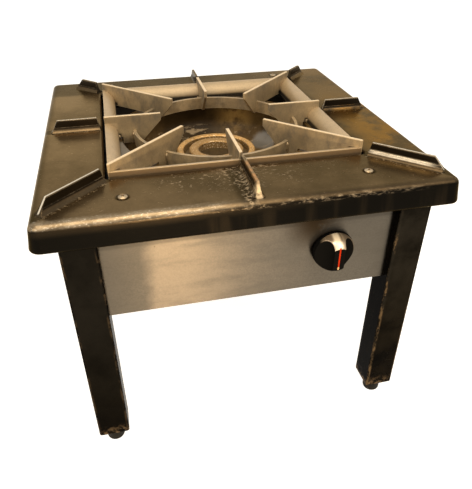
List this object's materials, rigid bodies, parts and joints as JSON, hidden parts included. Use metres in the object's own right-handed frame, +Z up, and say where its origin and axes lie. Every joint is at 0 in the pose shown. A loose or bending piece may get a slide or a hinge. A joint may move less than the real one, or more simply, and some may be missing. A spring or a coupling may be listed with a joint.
{
  "type": "stockpot stove",
  "caption": "Low floor-standing gas stove with a square ribbed cast top, lift-off pan support, double-ring burner in a drip bowl, stainless front with one knob, square legs and levelling feet.",
  "frame": {"origin": "on the floor under the middle of the top", "axes": "+Z up, front with the knob facing -Y, +X to the right seen from the front"},
  "size_m": [0.6, 0.6, 0.48],
  "materials": {
    "enamel": "glossy black enamel, worn at the edges",
    "stainless": "brushed stainless steel",
    "fastener": "zinc plated steel",
    "galvanised": "galvanised sheet steel",
    "grate": "bare steel, heat tinted",
    "burnt_enamel": "burnt enamel",
    "iron": "as cast",
    "flame_ring": "dull, heat tinted",
    "brass": "machined",
    "copper": "drawn copper pipe",
    "knob_black": "glossy",
    "pointer_red": "glossy",
    "pointer_pale": "glossy",
    "foot_black": "matt"
  },
  "bodies": {
    "stand": {"top_plate": "enamel", "leg_front_left": "enamel", "leg_front_right": "enamel", "leg_rear_left": "enamel", "leg_rear_right": "enamel", "front_panel": "stainless", "rear_panel": "stainless", "left_panel": "stainless", "right_panel": "stainless", "plate_screws": "fastener", "plate_nuts": "fastener", "strap_screws": "fastener", "burner_bolts": "fastener", "panel_screws": "fastener", "foot_bushes": "fastener", "foot_lock_nuts": "fastener", "tap_nut": "fastener", "thermocouple": "fastener", "burner_strap": "galvanised", "injector_holder": "galvanised", "drip_bowl": "burnt_enamel", "burner_body": "iron", "mixing_tube": "iron", "injector": "brass", "tap_body": "brass", "tap_cap": "brass", "union_nuts": "brass", "inlet_nipple": "brass", "inlet_nut": "brass", "pilot_burner": "brass", "supply_pipe": "copper", "burner_pipe": "copper", "pilot_pipe": "copper", "thermocouple_lead": "copper"},
    "pan_support": {"rail_front": "grate", "rail_right": "grate", "rail_back": "grate", "rail_left": "grate", "side_fin_front": "grate", "side_fin_right": "grate", "side_fin_back": "grate", "side_fin_left": "grate", "corner_fin_front_right": "grate", "corner_fin_back_right": "grate", "corner_fin_back_left": "grate", "corner_fin_front_left": "grate", "ring_segments": "grate"},
    "outer_ring": {"outer_flame_ring": "flame_ring"},
    "inner_ring": {"inner_flame_ring": "flame_ring"},
    "plug": {"tap_plug": "brass"},
    "knob": {"knob": "knob_black", "spindle": "fastener", "knob_pointer": "pointer_red", "pointer_tip": "pointer_pale"},
    "shutter": {"air_shutter": "galvanised"},
    "foot_front_left": {"foot_front_left": "foot_black"},
    "foot_front_right": {"foot_front_right": "foot_black"},
    "foot_rear_left": {"foot_rear_left": "foot_black"},
    "foot_rear_right": {"foot_rear_right": "foot_black"}
  },
  "joints": [
    {"name": "pan_support_lift", "type": "slide", "parent": "stand", "child": "pan_support", "axis": [0, 0, 1], "range_m": [0, 0.15]},
    {"name": "outer_ring_lift", "type": "slide", "parent": "stand", "child": "outer_ring", "axis": [0, 0, 1], "range_m": [0, 0.12]},
    {"name": "inner_ring_lift", "type": "slide", "parent": "stand", "child": "inner_ring", "axis": [0, 0, 1], "range_m": [0, 0.12]},
    {"name": "tap_turn", "type": "hinge", "parent": "stand", "child": "plug", "pos_m": [0.12, -0.266, 0.351], "axis": [0, -1, 0], "range_deg": [0, 180]},
    {"name": "knob_push", "type": "slide", "parent": "plug", "child": "knob", "axis": [0, 1, 0], "range_m": [0, 0.003], "stiffness_N_per_m": 800},
    {"name": "air_shutter_slide", "type": "slide", "parent": "stand", "child": "shutter", "axis": [0, 1, 0], "range_m": [-0.008, 0.008]},
    {"name": "foot_front_left_screw_out", "type": "slide", "parent": "stand", "child": "foot_front_left", "axis": [0, 0, -1], "range_m": [0, 0.012]},
    {"name": "foot_front_right_screw_out", "type": "slide", "parent": "stand", "child": "foot_front_right", "axis": [0, 0, -1], "range_m": [0, 0.012]},
    {"name": "foot_rear_left_screw_out", "type": "slide", "parent": "stand", "child": "foot_rear_left", "axis": [0, 0, -1], "range_m": [0, 0.012]},
    {"name": "foot_rear_right_screw_out", "type": "slide", "parent": "stand", "child": "foot_rear_right", "axis": [0, 0, -1], "range_m": [0, 0.012]}
  ]
}
